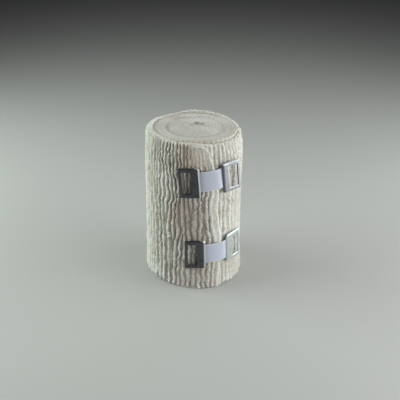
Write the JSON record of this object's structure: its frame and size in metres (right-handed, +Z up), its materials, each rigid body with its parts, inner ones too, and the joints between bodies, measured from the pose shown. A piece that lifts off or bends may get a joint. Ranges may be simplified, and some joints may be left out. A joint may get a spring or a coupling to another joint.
{
  "type": "crepe bandage roll",
  "caption": "Upright roll of ribbed cotton crepe bandage, wound on itself and held shut by short elastic clips with windowed metal plates.",
  "frame": {"origin": "middle of the flat foot that the roll stands on; the roll's own axis passes through it", "axes": "+Z up along the roll, its longest direction; -Y towards the side with the clips, where the camera of the picture is; +X to the right as seen from there"},
  "size_m": [0.0653, 0.0707, 0.1017],
  "materials": {
    "cotton_crepe": "unbleached crepe cotton, matt",
    "white_elastic": "woven white elastic, bluish",
    "clip_metal": "satin pressed sheet"
  },
  "bodies": {
    "root": {"bandage_roll": "cotton_crepe", "upper_clip_band": "white_elastic", "lower_clip_band": "white_elastic", "upper_clip_buckle_left": "clip_metal", "upper_clip_buckle_right": "clip_metal", "lower_clip_buckle_left": "clip_metal", "lower_clip_buckle_right": "clip_metal"}
  },
  "joints": []
}
